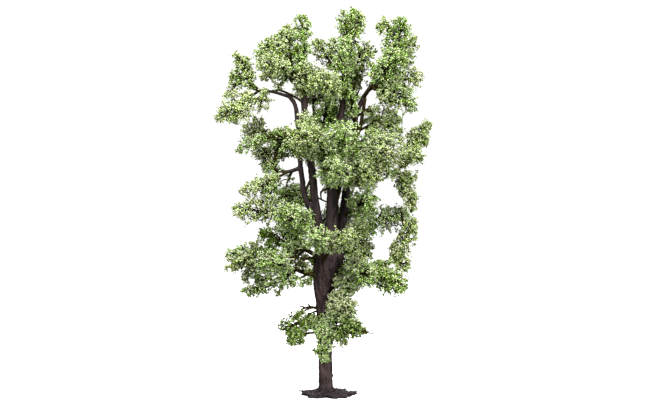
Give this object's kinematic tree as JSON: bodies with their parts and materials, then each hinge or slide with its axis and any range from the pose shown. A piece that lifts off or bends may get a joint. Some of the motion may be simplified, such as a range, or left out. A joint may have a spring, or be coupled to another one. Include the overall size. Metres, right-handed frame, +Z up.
{
  "type": "model tree",
  "caption": "Model horse chestnut tree: a dark moulded trunk parts into boughs and limbs that carry open, flocked masses of green leaf, and stands on its own ragged root plate.",
  "frame": {"origin": "centre of the root plate's flat underside, which stands on the ground", "axes": "+Z up along the trunk, +X to the right of the picture, +Y away from the viewer"},
  "size_m": [0.108, 0.0909, 0.1898],
  "materials": {
    "bark": "moulded dark brown plastic with bark relief, satin to matte",
    "root_plate": "moulded dark brown plastic, ragged and matte",
    "foliage": "matte flock of small green leaf flakes in several tones, on dark twigs"
  },
  "bodies": {
    "root": {"root_plate": "root_plate", "trunk": "bark", "bough_centre": "bark", "bough_left": "bark", "bough_right": "bark", "bough_back": "bark", "bough_outer_left": "bark", "limb_outer_left": "bark", "limb_left_mid": "bark", "limb_left_low": "bark", "limb_right_far": "bark", "limb_right_low": "bark", "foliage_low_front": "foliage", "foliage_low_right": "foliage", "foliage_skirt_right": "foliage", "foliage_skirt_left": "foliage", "foliage_skirt_front": "foliage", "foliage_upper_left_peak": "foliage", "foliage_upper_left_shoulder": "foliage", "foliage_upper_left_apron": "foliage", "foliage_left_knot": "foliage", "foliage_mid_left_front": "foliage", "foliage_left_inner_back": "foliage", "foliage_left_mid": "foliage", "foliage_left_mid_front": "foliage", "foliage_left_shade": "foliage", "foliage_mid_left_high": "foliage", "foliage_left_crest": "foliage", "foliage_left_outer": "foliage", "foliage_crown_gap": "foliage", "foliage_centre_peak": "foliage", "foliage_centre_shoulder": "foliage", "foliage_centre_high": "foliage", "foliage_mid_front": "foliage", "foliage_mid_band": "foliage", "foliage_right_peak": "foliage", "foliage_right_shoulder": "foliage", "foliage_right_upper": "foliage", "foliage_right_upper_back": "foliage", "foliage_mid_band_right": "foliage", "foliage_right_column": "foliage", "foliage_right_inner": "foliage", "foliage_right_mid": "foliage", "foliage_right_shade": "foliage", "foliage_centre_veil": "foliage", "foliage_back_high": "foliage", "foliage_back_left": "foliage", "foliage_back_right": "foliage", "foliage_back_low": "foliage", "foliage_mid_left_low": "foliage", "foliage_left_lower_mid": "foliage", "foliage_left_low": "foliage", "foliage_left_low_front": "foliage", "foliage_left_low_tip": "foliage", "foliage_mid_right": "foliage", "foliage_right_point": "foliage", "foliage_right_hang_high": "foliage", "foliage_right_hang_low": "foliage", "foliage_right_low_front": "foliage", "foliage_right_low": "foliage"}
  },
  "joints": []
}
